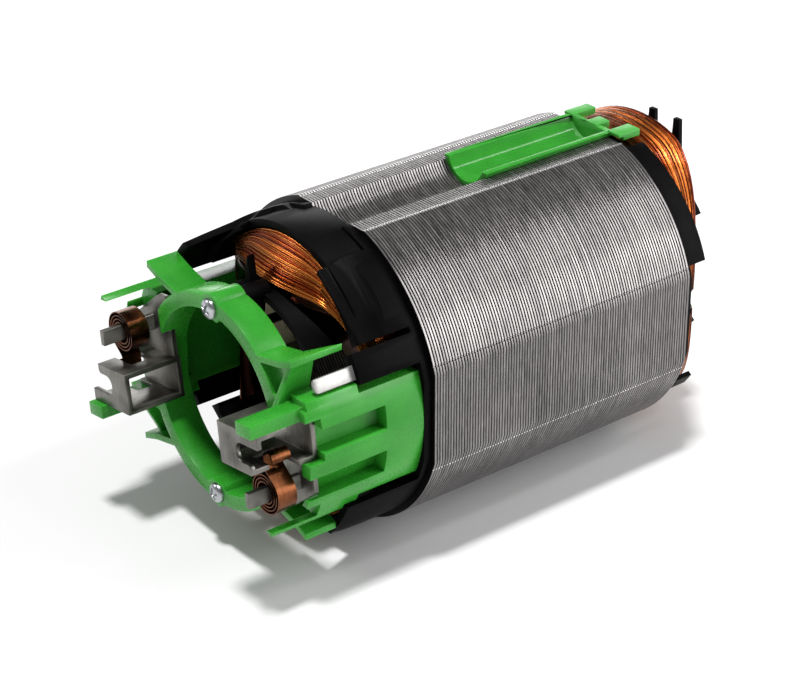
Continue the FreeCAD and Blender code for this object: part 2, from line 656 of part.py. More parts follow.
def brush_carrier():
    # One moulding: a ring with two screw lobes, two curved side plates with rails, and four shelves.
    ring_x = (ahead("Sizes.ring_front"), ahead("Sizes.ring_front - Sizes.ring_depth"))
    web_rear = ahead("Sizes.ring_front - Sizes.ring_depth")
    plate_inner = PLATE + " - Sizes.plate_wall"
    plate_x = (ahead("Sizes.plate_front"), ahead("Sizes.flange_wall"))
    shell = cut(
        "shell",
        rod("shell_outer", PLATE, plate_x),
        rod("shell_inner", plate_inner, past(plate_x)),
    )
    outward = (ACROSS[0], "0")
    plate = common("plate", shell, block("plate_band", plate_x, outward, ("-Sizes.plate_bottom", "Sizes.plate_top")))
    step_x = (ahead("Sizes.plate_front"), ahead("Sizes.step_rear"))
    step = common("step", shell, block("step_band", step_x, outward, ("-Sizes.lower_step_bottom", "Sizes.step_top")))
    recess_x = (ahead("Sizes.plate_front + Sizes.recess_end"), ahead("Sizes.recess_end"))
    recess = common(
        "recess",
        cut(
            "recess_ring",
            rod("recess_outer", "Sizes.stack_radius", recess_x),
            rod("recess_floor", PLATE + " - Sizes.recess_depth", past(recess_x)),
        ),
        fuse(
            "recess_bands",
            block("upper_recess", recess_x, outward, ("Sizes.upper_recess_bottom", "Sizes.upper_recess_top")),
            block("lower_recess", recess_x, outward, ("-Sizes.lower_recess_bottom", "-Sizes.lower_recess_top")),
        ),
    )
    wing_side = ahead("Sizes.wing_reach + Sizes.shelf_fit")
    lower_rail = sector(
        "lower_rail", "Sizes.lower_rail_inner", PLATE, (ahead("Sizes.lower_rail_front"), wing_side),
        size("lower_rail_start"), size("lower_rail_end"),
    )
    web = common(
        "web",
        rod("web_round", PLATE, ring_x),
        block("web_band", ring_x, (ACROSS[0], "-Sizes.web_inner"), ("-Sizes.plate_bottom", "Sizes.plate_top")),
    )
    shelves = []
    for name, side, front, rear in (
        ("upper_shelf", "", ring_x[0], ahead("Sizes.shelf_rear")),
        ("lower_shelf", "-", ahead("Sizes.lug_front"), wing_side),
    ):
        shelves.append(prism(name, "x", front, rear, [
            ("-Sizes.shelf_inner", side + "Sizes.shelf_inner_level"),
            ("-Sizes.shelf_bend", side + "Sizes.shelf_bend_level"),
            ("-Sizes.shelf_reach", side + "Sizes.shelf_tip_level"),
            ("-Sizes.shelf_reach", side + "(Sizes.shelf_tip_level + Sizes.shelf_wall)"),
            ("-Sizes.shelf_bend", side + "(Sizes.shelf_bend_level + Sizes.shelf_wall)"),
            ("-Sizes.shelf_inner", side + "(Sizes.shelf_inner_level + Sizes.shelf_wall)"),
        ]))
    # The upper shelf narrows towards its tip.
    taper = prism("shelf_taper", "z", "Sizes.shelf_inner", FLANGE, [
        (ahead("Sizes.shelf_root"), "-Sizes.shelf_bend"),
        (ahead("Sizes.shelf_rear"), "-Sizes.shelf_reach"),
        (ahead("Sizes.shelf_rear"), "-Sizes.shelf_inner + Sizes.shelf_wall"),
        (ahead("Sizes.shelf_root"), "-Sizes.shelf_inner + Sizes.shelf_wall"),
    ])
    shelves[0] = cut("upper_shelf_tapered", shelves[0], taper)
    gusset = prism("gusset", "y", "-Sizes.gusset_side - Sizes.gusset_wall", "-Sizes.gusset_side", [
        (ahead("Sizes.gusset_front"), "Sizes.box_width / 2 + Sizes.rail_height"),
        (ahead("Sizes.gusset_rear"), "Sizes.box_width / 2 + Sizes.rail_height"),
        (ahead("Sizes.ring_front - Sizes.ring_depth"), "Sizes.shelf_bend_level"),
        (ahead("Sizes.gusset_apex"), "Sizes.shelf_bend_level + Sizes.shelf_wall"),
    ])
    rail = turned(compound("upper_rail", block(
        "upper_rail_bar",
        (ahead("Sizes.rail_front"), ahead("Sizes.rail_rear")),
        ("-Sizes.rail_inner - Sizes.rail_width", "-Sizes.rail_inner"),
        ("Sizes.box_width / 2 + Sizes.box_fit", "Sizes.box_width / 2 + Sizes.box_fit + Sizes.rail_height"),
    )), -size("brush_angle"))
    side = fuse("carrier_side", cut("side_plate", fuse("side_shell", plate, step, web), recess),
                lower_rail, gusset, rail, *shelves)
    ring = rod("ring_rim", "Sizes.ring_outer", ring_x)
    lobes = [
        rod("lobe_top", "Sizes.lobe_radius", ring_x, "0", "Sizes.screw_place"),
        rod("lobe_bottom", "Sizes.lobe_radius", ring_x, "0", "-Sizes.screw_place"),
    ]
    hoop = cut("hoop", ring, rod("ring_hole", "Sizes.ring_inner", past(ring_x)))
    whole = fuse("carrier_moulding", hoop, *lobes, side, turned(compound("carrier_side_copy", side)))
    box_half = "Sizes.box_width / 2 + Sizes.box_fit"
    pocket = turned(compound("box_pocket", block(
        "box_room",
        (ahead("Sizes.rail_front + Sizes.holder_sheet"), ahead("Sizes.box_rear")),
        (ACROSS[0], "-Sizes.box_inner_end + Sizes.box_fit"),
        ("-(%s)" % box_half, box_half),
    )), -size("brush_angle"))
    notch = turned(compound("seat_notch", block(
        "seat_room",
        (ahead("Sizes.rail_front + Sizes.holder_sheet"), ahead("Sizes.box_rear")),
        ("-Sizes.seat_outer - Sizes.box_fit", "-Sizes.seat_inner + Sizes.box_fit"),
        ("-Sizes.seat_bottom - Sizes.box_fit", "-Sizes.box_width / 2"),
    )), -size("brush_angle"))
    hole = rod("screw_hole", "Sizes.screw_shank_radius + Sizes.screw_fit", past(ring_x), "0", "Sizes.screw_place")
    hollow = compound("carrier_hollow", fuse("holder_room", pocket, notch), hole)
    throat = rod("throat", "Sizes.ring_throat", past((ahead("Sizes.rail_front"), ahead("Sizes.shelf_rear"))))
    hollows = fuse("carrier_hollows", hollow, turned(compound("carrier_hollow_copy", hollow)), throat)
    keep(cut("carrier_solid", whole, hollows), "brush_carrier")


def channel_liner():
    # A concave trough that lies in the top channel, with an end wall and three hooks over the rear end.
    outer = "Sizes.channel_radius - Sizes.trough_fit"
    end = behind("Sizes.rear_flange_wall")
    wall = behind("Sizes.rear_flange_wall - Sizes.trough_end_wall")
    x = ("%s + Sizes.trough_front" % FRONT, end)
    trough = cut(
        "trough",
        rod("trough_outer", outer, x, "0", CHANNEL_CENTRE),
        rod("trough_hollow", outer + " - Sizes.trough_wall", (x[0] + " - Sizes.flange_wall", wall), "0",
            CHANNEL_CENTRE),
    )
    top = "Sizes.stack_radius - Sizes.trough_drop"
    bed = common("trough_bed", trough, block("trough_level", x, ACROSS, (ACROSS[0], top)))
    hooks = []
    for name in ("hook_left", "hook_middle", "hook_right"):
        side = "Sizes.%s_side" % name
        rear = behind("Sizes.%s_rear" % name)
        y = (side, "%s + Sizes.%s_width" % (side, name))
        crest = "Sizes.stack_radius - Sizes.hook_rise"
        hooks.append(block(name + "_bar", (behind("Sizes.hook_front"), rear), y,
                           ("Sizes.stack_radius - Sizes.hook_foot", crest)))
        hooks.append(block(name + "_block", (end, rear), y, ("Sizes.stack_radius - Sizes.hook_drop", crest)))
    keep(fuse("channel_liner_solid", bed, *hooks), "channel_liner")


def brush_holder(label, degrees):
    # One folded sheet: a box for the brush, a seat plate for the spring and a post for its inner end.
    # In the body's own frame the brush points along -Y.
    body = doc.addObject("PartDesign::Body", label + "_body")
    half = "Sizes.box_width / 2"
    skin = "Sizes.holder_sheet"
    front, rear = ahead("Sizes.box_front"), ahead("Sizes.box_rear")
    seat_front = ahead("Sizes.box_rear + %s" % skin)
    fold = body_sketch(body, label + "_fold", "XZ_Plane", "Sizes.box_inner_end", [
        (front, "-%s" % half),
        (front, half),
        (rear, half),
        (rear, "-%s" % half),
    ])
    feature(body, "Pad", label + "_box", fold, Length="Sizes.box_outer_end - Sizes.box_inner_end")
    room = body_sketch(body, label + "_room", "XZ_Plane", "Sizes.box_inner_end", [
        (front + " + " + skin, "%s - %s" % (skin, half)),
        (front + " + " + skin, "%s - %s" % (half, skin)),
        (rear + " - " + skin, "%s - %s" % (half, skin)),
        (rear + " - " + skin, "%s - %s" % (skin, half)),
    ])
    inside = feature(body, "Pocket", label + "_inside", room, Length="Sizes.box_outer_end - Sizes.box_inner_end")
    inside.Reversed = True
    entry = body_sketch(body, label + "_entry", "YZ_Plane", front + " + " + skin, [
        ("-Sizes.entry_inner", "-Sizes.entry_bottom"),
        ("-Sizes.entry_inner", "Sizes.entry_top"),
        ("-Sizes.box_outer_end - %s" % skin, "Sizes.entry_top"),
        ("-Sizes.box_outer_end - %s" % skin, "-%s - %s" % (half, skin)),
        ("-Sizes.lobe_end", "-%s - %s" % (half, skin)),
        ("-Sizes.lobe_end", "-Sizes.entry_bottom"),
    ])
    feature(body, "Pocket", label + "_entry_slot", entry, Length=skin)
    window = body_sketch(body, label + "_window", "XY_Plane", half, [
        (ahead("Sizes.window_front"), "-Sizes.window_inner"),
        (ahead("Sizes.window_rear"), "-Sizes.window_inner"),
        (ahead("Sizes.window_rear"), "-Sizes.box_outer_end - %s" % skin),
        (ahead("Sizes.window_front"), "-Sizes.box_outer_end - %s" % skin),
    ])
    feature(body, "Pocket", label + "_window_cut", window, Length=skin)
    slot_front = ahead("Sizes.spring_front + Sizes.spring_fit")
    slot_rear = ahead("Sizes.spring_front - Sizes.spring_width - Sizes.spring_fit")
    outside = "-Sizes.box_outer_end - %s" % skin
    slot = body_sketch(body, label + "_slot", "XY_Plane", "-%s" % half, [
        (slot_rear, "-Sizes.slot_end"),
        (slot_front, "-Sizes.slot_end"),
        (slot_front, "-Sizes.lobe_end"),
        (front + " - " + skin, "-Sizes.lobe_end"),
        (front + " - " + skin, outside),
        (slot_rear, outside),
    ])
    opening = feature(body, "Pocket", label + "_tail_slot", slot, Length=skin)
    opening.Reversed = True
    seat = body_sketch(body, label + "_seat", "YZ_Plane", seat_front, [
        ("-Sizes.seat_inner", "-%s" % half),
        ("-Sizes.seat_inner", "-Sizes.seat_rise"),
        ("-Sizes.seat_corner", "-Sizes.seat_bottom"),
        ("-Sizes.seat_corner_outer", "-Sizes.seat_bottom"),
        ("-Sizes.seat_outer", "-Sizes.seat_side"),
        ("-Sizes.seat_outer", "-%s" % half),
    ])
    feature(body, "Pad", label + "_seat_plate", seat, Length=skin)
    post = body_sketch(body, label + "_post", "YZ_Plane", ahead("Sizes.post_tip"), [
        ("-Sizes.spring_place - Sizes.post_wall / 2", "-Sizes.spring_level - Sizes.post_width / 2"),
        ("-Sizes.spring_place + Sizes.post_wall / 2", "-Sizes.spring_level - Sizes.post_width / 2"),
        ("-Sizes.spring_place + Sizes.post_wall / 2", "-Sizes.spring_level + Sizes.post_width / 2"),
        ("-Sizes.spring_place - Sizes.post_wall / 2", "-Sizes.spring_level + Sizes.post_width / 2"),
    ])
    feature(body, "Pad", label + "_post_tongue", post, Length="Sizes.post_tip - Sizes.box_rear")
    inner, top, bottom = -size("entry_inner"), size("entry_top"), -size("entry_bottom")

    def entry_corner(edge):
        box = edge.BoundBox
        along = box.YLength < 1e-6 and box.ZLength < 1e-6 and box.XMax < number(front) + size("holder_sheet") + 1e-6
        return along and abs(box.YMin - inner) < 1e-6 and min(abs(box.ZMin - top), abs(box.ZMin - bottom)) < 1e-6

    def lobe_corner(edge):
        box = edge.BoundBox
        along = box.YLength < 1e-6 and box.ZLength < 1e-6 and box.XMax < number(front) + size("holder_sheet") + 1e-6
        return along and abs(box.YMin + size("lobe_end")) < 1e-6

    def window_corner(edge):
        box = edge.BoundBox
        return box.XLength < 1e-6 and box.YLength < 1e-6 and abs(box.YMin + size("window_inner")) < 1e-6

    round_edges(body, label + "_entry_round", "Sizes.entry_round", entry_corner)
    round_edges(body, label + "_lobe_round", "Sizes.lobe_round", lobe_corner)
    round_edges(body, label + "_window_round", "Sizes.window_round", window_corner)
    keep(turned(body, degrees), label)


def band(path, thickness):
    # A strip seen from its edge, across X: arcs and straight runs, with both sides half a thickness away.
    sides = {1: [], -1: []}
    for step in path:
        if step[0] == "arc":
            _, (y, z), radius, start, sweep = step
            turning = 1 if sweep > 0 else -1
            for side, edges in sides.items():
                reach = radius + side * turning * thickness / 2
                angles = [math.radians(start + sweep * share) for share in (0, 0.5, 1)]
                spots = [FreeCAD.Vector(0, y + reach * math.cos(a), z + reach * math.sin(a)) for a in angles]
                edges.append(Part.Arc(*spots).toShape())
        else:
            _, start, end = step
            along = FreeCAD.Vector(0, end[0] - start[0], end[1] - start[1]).normalize()
            beside = FreeCAD.Vector(0, along.z, -along.y)
            for side, edges in sides.items():
                shift = beside * (side * thickness / 2)
                edges.append(Part.LineSegment(
                    FreeCAD.Vector(0, *start) + shift,
                    FreeCAD.Vector(0, *end) + shift,
                ).toShape())
    ends = []
    for index in (0, -1):
        spots = [edges[index].valueAt(edges[index].ParameterRange[-index]) for edges in sides.values()]
        ends.append(Part.LineSegment(*spots).toShape())
    return Part.Face(Part.Wire(Part.__sortEdges__(sides[1] + sides[-1] + ends)))


def brush_spring(label, degrees):
    # A flat strip wound about the post in half circles. Its tail rises into the brush box and ends in a curl.
    middle = -size("spring_place")
    level = -size("spring_level")
    strip = size("spring_strip")
    radius = size("spring_inner_radius") + strip / 2
    halves = 2 * int(size("spring_turns")) + 1
    growth = (size("spring_radius") - strip / 2 - radius) / (halves - 1)
    path = []
    for half in range(halves):
        start = 0 if half % 2 == 0 else 180
        path.append(("arc", (middle, level), radius, start, -180))
        middle += growth if half % 2 == 0 else -growth
        radius += growth
    middle -= growth
    radius -= growth
    turn = size("tail_turn")
    path.append(("arc", (middle, level), radius, 180, -turn))
    slant = math.radians(turn)
    place = (middle - radius * math.cos(slant), level + radius * math.sin(slant))
    run = size("tail_run")
    foot = (place[0] + run * math.sin(slant), place[1] + run * math.cos(slant))
    path.append(("run", place, foot))
    bend = size("tail_bend")
    centre = (foot[0] - bend * math.cos(slant), foot[1] + bend * math.sin(slant))
    path.append(("arc", centre, bend, -turn, turn))
    edge = centre[0] + bend
    top = centre[1] + size("tail_rise")
    path.append(("run", (edge, centre[1]), (edge, top)))
    curl = size("curl_radius")
    path.append(("arc", (edge - curl, top), curl, 0, size("curl_sweep")))
    face = band(path, strip)
    item = doc.addObject("Part::Feature", label + "_strip")
    item.Shape = face.extrude(FreeCAD.Vector(size("spring_width"), 0, 0))
    item.Placement = FreeCAD.Placement(FreeCAD.Vector(), FreeCAD.Rotation(AXIS, degrees))
    item.Placement.Base = FreeCAD.Vector(number(ahead("Sizes.spring_front")), 0, 0)
    keep(item, label)


def contact_tab(label, degrees):
    # A tinned blade on the ledge of the front insulator, with its foot held in the moulding.
    body = doc.addObject("PartDesign::Body", label + "_body")
    half = "Sizes.tab_width / 2"
    blade = body_sketch(body, label + "_blade", "XZ_Plane", PLATE + " - Sizes.tab_wall", [
        (ahead("Sizes.tab_front"), "-%s" % half),
        (ahead("Sizes.tab_front"), half),
        (ahead("Sizes.ledge_reach - Sizes.tab_foot"), half),
        (ahead("Sizes.ledge_reach - Sizes.tab_foot"), "-%s" % half),
    ])
    feature(body, "Pad", label + "_plate", blade, Length="Sizes.tab_wall")
    front = number(ahead("Sizes.tab_front"))

    def front_corner(edge):
        box = edge.BoundBox
        return box.XLength < 1e-6 and box.ZLength < 1e-6 and abs(box.XMin - front) < 1e-6

    round_edges(body, label + "_corners", "Sizes.tab_round", front_corner)
    keep(turned(body, degrees), label)


def carrier_screw(name, side):
    # A round-headed screw along the motor axis, turned in one profile.
    body = doc.addObject("PartDesign::Body", name)
    seat = ahead("Sizes.ring_front")
    top = ahead("Sizes.ring_front + Sizes.screw_head_height")
    tip = ahead("Sizes.ring_front - Sizes.screw_length")
    profile = body_sketch(body, name + "_profile", "XZ_Plane", "0", [
        (top, "0"),
        (top, "Sizes.screw_head_radius"),
        (seat, "Sizes.screw_head_radius"),
        (seat, "Sizes.screw_shank_radius"),
        (tip, "Sizes.screw_shank_radius"),
        (tip, "0"),
    ])
    turn = feature(body, "Revolution", name + "_turned", profile)
    turn.ReferenceAxis = (profile, ["H_Axis"])
    turn.Angle = 360
    bind(body, Placement__Base__z="%s * Sizes.screw_place" % side)
    return body


def carrier_screws():
    keep(compound("screws", carrier_screw("screw_top", "1"), carrier_screw("screw_bottom", "-1")), "carrier_screws")


lamination_stack()
slot_liners()
coil("upper_coil", 0)
coil("lower_coil", 180)
front_insulator()
rear_insulator()
brush_carrier()
channel_liner()
brush_holder("brush_holder_right", -size("brush_angle"))
brush_holder("brush_holder_left", 180 - size("brush_angle"))
brush_spring("brush_spring_right", -size("brush_angle"))
brush_spring("brush_spring_left", 180 - size("brush_angle"))
contact_tab("contact_tab_right", -size("tab_clock"))
contact_tab("contact_tab_left", 180 - size("tab_clock"))
carrier_screws()
doc.recompute()

for item in doc.Objects:
    if "Invalid" in item.State or "Error" in item.State:
        raise RuntimeError("%s did not build: %s" % (item.Name, item.State))
for label, item in parts.items():
    if item.Shape.isNull() or not item.Shape.isValid():
        raise RuntimeError("%s has no valid shape" % label)

os.makedirs("parts", exist_ok=True)
for label, item in parts.items():
    item.Shape.exportStep("parts/%s.step" % label)
    print(label, len(item.Shape.Solids), "solids", round(item.Shape.Volume, 1), "mm3")
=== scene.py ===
import bpy, bmesh, math, random
from mathutils import Vector, Matrix


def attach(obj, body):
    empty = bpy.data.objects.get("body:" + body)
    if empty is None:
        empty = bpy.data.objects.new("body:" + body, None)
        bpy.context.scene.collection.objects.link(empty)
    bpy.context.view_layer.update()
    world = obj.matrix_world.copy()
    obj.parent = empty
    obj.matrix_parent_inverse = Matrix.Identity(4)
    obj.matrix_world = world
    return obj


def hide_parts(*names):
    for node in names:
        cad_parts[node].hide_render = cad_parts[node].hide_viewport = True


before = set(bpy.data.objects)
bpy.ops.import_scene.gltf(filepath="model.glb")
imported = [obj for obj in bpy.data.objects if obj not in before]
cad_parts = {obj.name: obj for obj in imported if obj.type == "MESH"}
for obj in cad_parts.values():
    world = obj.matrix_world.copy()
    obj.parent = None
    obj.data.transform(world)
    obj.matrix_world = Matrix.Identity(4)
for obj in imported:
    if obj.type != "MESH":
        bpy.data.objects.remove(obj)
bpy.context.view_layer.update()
mm = 0.001  # sizes are in millimetres, except where a note says metres
random.seed(7)
print("frame loaded:", len(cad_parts), "nodes")


# Small helpers

def linearColour(hexText):
    # sRGB hex to the linear values that Blender mixes with
    values = [int(hexText[i:i + 2], 16) / 255 for i in (1, 3, 5)]
    return [v / 12.92 if v <= 0.04045 else ((v + 0.055) / 1.055) ** 2.4 for v in values] + [1.0]


def perMetre(size):
    # a pattern's scale from the size of its features in millimetres
    return 1000 / size


def addNode(tree, kind, settings=None, links=None):
    # a key is the name or number of an input, or else a setting of the node
    node = tree.nodes.new(kind)
    for key, value in (settings or {}).items():
        if isinstance(key, int) or key in node.inputs:
            node.inputs[key].default_value = value
        else:
            setattr(node, key, value)
    for key, source in (links or {}).items():
        tree.links.new(source, node.inputs[key])
    return node


def newMaterial(name, sockets):
    # sockets are the values that are the same all over the surface
    material = bpy.data.materials.new(name)
    material.use_nodes = True
    tree = material.node_tree
    tree.nodes.clear()
    shader = addNode(tree, "ShaderNodeBsdfPrincipled", sockets)
    addNode(tree, "ShaderNodeOutputMaterial", links={"Surface": shader.outputs["BSDF"]})
    place = addNode(tree, "ShaderNodeTexCoord").outputs["Object"]
    return material, tree, shader, place


def linkSurface(tree, shader, sources):
    # links the patterns that vary over the surface to the shader
    for key, source in sources.items():
        tree.links.new(source, shader.inputs[key])


def setRamp(ramp, stops):
    # stops are (position, hex colour)
    elements = ramp.color_ramp.elements
    while len(elements) > len(stops):
        elements.remove(elements[-1])
    for index, (position, colour) in enumerate(stops):
        element = elements[index] if index < len(elements) else elements.new(position)
        element.position = position
        element.color = linearColour(colour)


def addObject(name, data):
    thing = bpy.data.objects.new(name, data)
    bpy.context.scene.collection.objects.link(thing)
    return thing


def addPiece(name, mesh, material, replaced):
    piece = addObject(name, mesh)
    mesh.materials.clear()
    mesh.materials.append(material)
    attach(piece, "root")
    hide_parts(*replaced)


def meshFromBmesh(name, bm, smoothAngle):
    mesh = bpy.data.meshes.new(name)
    bm.to_mesh(mesh)
    bm.free()
    mesh.shade_smooth()
    mesh.set_sharp_from_angle(angle=math.radians(smoothAngle))
    return mesh


def bridge(bm, a, b):
    # a band of faces between two rings of as many corners
    for corners in zip(a, a[1:] + a[:1], b[1:] + b[:1], b):
        bm.faces.new(corners)


# Materials

# The gap between two sheets is drawn wider than the real one, which is too fine to show. A
# shallow seam runs beside each flat, and its four corners are given in degrees from the flat.
stackSize = {
    "length": 63.7, "radius": 32.0, "halfFlat": 30.65, "bore": 17.8, "tipBack": 20.2,
    "halfPole": 12.5, "halfMouth": 6.1, "yokeInner": 26.2, "channel": 6.5, "channelFloor": 26.5,
    "halfLand": 9.49, "landStep": 0.3, "crest": 0.45, "sheets": 98, "gap": 0.20, "gapDepth": 0.26,
    "burr": 0.06, "stray": 0.012, "roundFrom": 0.2, "seam": 0.12, "seamTurns": (2.6, 2.8, 3.1, 3.3)}


def stampedSteel():
    # Silicon steel sheet, stamped and stacked: cool grey sheet edges with dark oil between them,
    # fine punch marks across each edge, and a painted highlight along the crests beside the
    # channel.
    look = {"dark": "#5d5c5c", "mid": "#827f7e", "light": "#9b9897", "oil": "#2a2828",
            # the first four values of the next line give the painted highlight along the crests
            # beside the channel
            "crestGlint": "#d6d4d4", "glintPast": 0.35, "glintReach": 0.42, "glintAbove": 29,
            "marks": (0.3125, 3.85, 3.85), "patch": 14.3, "bySheet": 0.16, "byPatch": 0.35,
            "oilLine": (0.10, 0.24), "smoothest": 0.27, "roughest": 0.45}
    material, tree, shader, place = newMaterial("stampedSiliconSteel", {"Metallic": 0.9})
    split = addNode(tree, "ShaderNodeSeparateXYZ", links={"Vector": place})
    sheetsPerMetre = perMetre(stackSize["length"] / stackSize["sheets"])
    count = addNode(
        tree, "ShaderNodeMath",
        {"operation": "MULTIPLY_ADD", 1: sheetsPerMetre, 2: stackSize["sheets"] / 2},
        {0: split.outputs["X"]})
    whole = addNode(tree, "ShaderNodeMath", {"operation": "FLOOR"}, {0: count.outputs[0]})
    each = addNode(
        tree, "ShaderNodeTexWhiteNoise", {"noise_dimensions": "1D"}, {"W": whole.outputs[0]})
    stretch = addNode(
        tree, "ShaderNodeMapping", {"Scale": [perMetre(size) for size in look["marks"]]},
        {"Vector": place})
    streak = addNode(
        tree, "ShaderNodeTexNoise", {"Scale": 1.0, "Detail": 4.0, "Roughness": 0.6},
        {"Vector": stretch.outputs[0]})
    patch = addNode(
        tree, "ShaderNodeTexNoise", {"Scale": perMetre(look["patch"]), "Detail": 3.0},
        {"Vector": place})
    blend = addNode(
        tree, "ShaderNodeMath", {"operation": "MULTIPLY_ADD", 1: look["bySheet"]},
        {0: each.outputs["Value"], 2: streak.outputs["Fac"]})
    shade = addNode(
        tree, "ShaderNodeMath", {"operation": "MULTIPLY_ADD", 1: look["byPatch"]},
        {0: patch.outputs["Fac"], 2: blend.outputs[0]})
    ramp = addNode(tree, "ShaderNodeValToRGB", links={"Fac": shade.outputs[0]})
    setRamp(ramp, [(0.50, look["dark"]), (0.76, look["mid"]), (1.0, look["light"])])
    # painted highlight: a bright band along the crest beside the channel, where its edge catches
    # the light
    across = addNode(tree, "ShaderNodeMath", {"operation": "ABSOLUTE"}, {0: split.outputs["Y"]})
    height = addNode(tree, "ShaderNodeMath", {"operation": "ABSOLUTE"}, {0: split.outputs["Z"]})
    glintPlace = stackSize["halfLand"] + look["glintPast"]
    beside = addNode(
        tree, "ShaderNodeMath",
        {"operation": "COMPARE", 1: glintPlace * mm, 2: look["glintReach"] * mm},
        {0: across.outputs[0]})
    above = addNode(
        tree, "ShaderNodeMath", {"operation": "GREATER_THAN", 1: look["glintAbove"] * mm},
        {0: height.outputs[0]})
    crest = addNode(
        tree, "ShaderNodeMath", {"operation": "MULTIPLY"},
        {0: beside.outputs[0], 1: above.outputs[0]})
    glinted = addNode(
        tree, "ShaderNodeMix", {"data_type": "RGBA", 7: linearColour(look["crestGlint"])},
        {0: crest.outputs[0], 6: ramp.outputs["Color"]})
    # the dark line where two sheets meet
    inside = addNode(tree, "ShaderNodeMath", {"operation": "FRACT"}, {0: count.outputs[0]})
    middle = addNode(
        tree, "ShaderNodeMath", {"operation": "PINGPONG", 1: 0.5}, {0: inside.outputs[0]})
    edge = addNode(
        tree, "ShaderNodeMapRange",
        {"From Min": look["oilLine"][0], "From Max": look["oilLine"][1]},
        {"Value": middle.outputs[0]})
    oiled = addNode(
        tree, "ShaderNodeMix", {"data_type": "RGBA", 6: linearColour(look["oil"])},
        {0: edge.outputs[0], 7: glinted.outputs[2]})
    rough = addNode(
        tree, "ShaderNodeMapRange",
        {"From Min": 0.3, "From Max": 0.8, "To Min": look["smoothest"], "To Max": look["roughest"]},
        {"Value": streak.outputs["Fac"]})
    bump = addNode(
        tree, "ShaderNodeBump", {"Strength": 0.3, "Distance": 0.03 * mm},
        {"Height": streak.outputs["Fac"]})
    linkSurface(tree, shader, {"Base Color": oiled.outputs[2], "Roughness": rough.outputs[0],
                               "Normal": bump.outputs[0]})
    return material


def mouldedNylon(name, look):
    # Glass-filled nylon, injection moulded: satin, with soft flow marks and a fine grain, drawn
    # as coarse as it needs to show. A light colour also lets some light in.
    sockets = {"IOR": look["ior"], "Specular IOR Level": look["sheen"]}
    if "glow" in look:
        sockets.update({"Subsurface Weight": look["glow"], "Subsurface Radius": (0.6, 1.0, 0.5),
                        "Subsurface Scale": look["glowDepth"] * mm})
    material, tree, shader, place = newMaterial(name, sockets)
    flow = addNode(
        tree, "ShaderNodeTexNoise", {"Scale": perMetre(look["flow"]), "Detail": 3.0},
        {"Vector": place})
    grain = addNode(
        tree, "ShaderNodeTexNoise", {"Scale": perMetre(look["grain"]), "Detail": 4.0},
        {"Vector": place})
    ramp = addNode(tree, "ShaderNodeValToRGB", links={"Fac": flow.outputs["Fac"]})
    setRamp(ramp, [(0.35, look["dark"]), (0.65, look["light"])])
    rough = addNode(
        tree, "ShaderNodeMapRange",
        {"From Min": 0.3, "From Max": 0.7,
         "To Min": look["rough"] - 0.06, "To Max": look["rough"] + 0.06},
        {"Value": grain.outputs["Fac"]}).outputs[0]
    if "matteFrom" in look:
        split = addNode(tree, "ShaderNodeSeparateXYZ", links={"Vector": place})
        beyond = addNode(
            tree, "ShaderNodeMath", {"operation": "GREATER_THAN", 1: look["matteFrom"] * mm},
            {0: split.outputs["X"]})
        rough = addNode(
            tree, "ShaderNodeMath", {"operation": "MULTIPLY_ADD", 1: look["matteBy"]},
            {0: beyond.outputs[0], 2: rough}).outputs[0]
    bump = addNode(
        tree, "ShaderNodeBump", {"Strength": look["bump"], "Distance": 0.03 * mm},
        {"Height": grain.outputs["Fac"]})
    linkSurface(tree, shader, {"Base Color": ramp.outputs["Color"], "Roughness": rough,
                               "Normal": bump.outputs[0]})
    return material


def enamelledCopper():
    # Copper winding wire under clear enamel: deep orange, bright along each strand, and no two
    # strands the same. The attribute paints shade, darkening the core and the wires low by the
    # slots.
    look = {"dark": "#6a220a", "mid": "#ab4718", "light": "#e2853a", "deep": "#2c1008",
            "wave": 4.55}
    material, tree, shader, place = newMaterial("enamelledCopperWire", {
        "Metallic": 1.0, "Roughness": 0.27, "Coat Weight": 0.12, "Coat Roughness": 0.12})
    island = addNode(tree, "ShaderNodeNewGeometry")
    wave = addNode(
        tree, "ShaderNodeTexNoise", {"Scale": perMetre(look["wave"]), "Detail": 2.0},
        {"Vector": place})
    blend = addNode(
        tree, "ShaderNodeMath", {"operation": "MULTIPLY_ADD", 1: 0.5},
        {0: wave.outputs["Fac"], 2: island.outputs["Random Per Island"]})
    ramp = addNode(tree, "ShaderNodeValToRGB", links={"Fac": blend.outputs[0]})
    setRamp(ramp, [(0.1, look["dark"]), (0.6, look["mid"]), (1.0, look["light"])])
    # painted shade: the depth attribute mixes in the darkest colour, for the core and the low wires
    depth = addNode(tree, "ShaderNodeAttribute", {"attribute_name": "depth"})
    shaded = addNode(
        tree, "ShaderNodeMix", {"data_type": "RGBA", 7: linearColour(look["deep"])},
        {0: depth.outputs["Fac"], 6: ramp.outputs["Color"]})
    linkSurface(tree, shader, {"Base Color": shaded.outputs[2]})
    return material


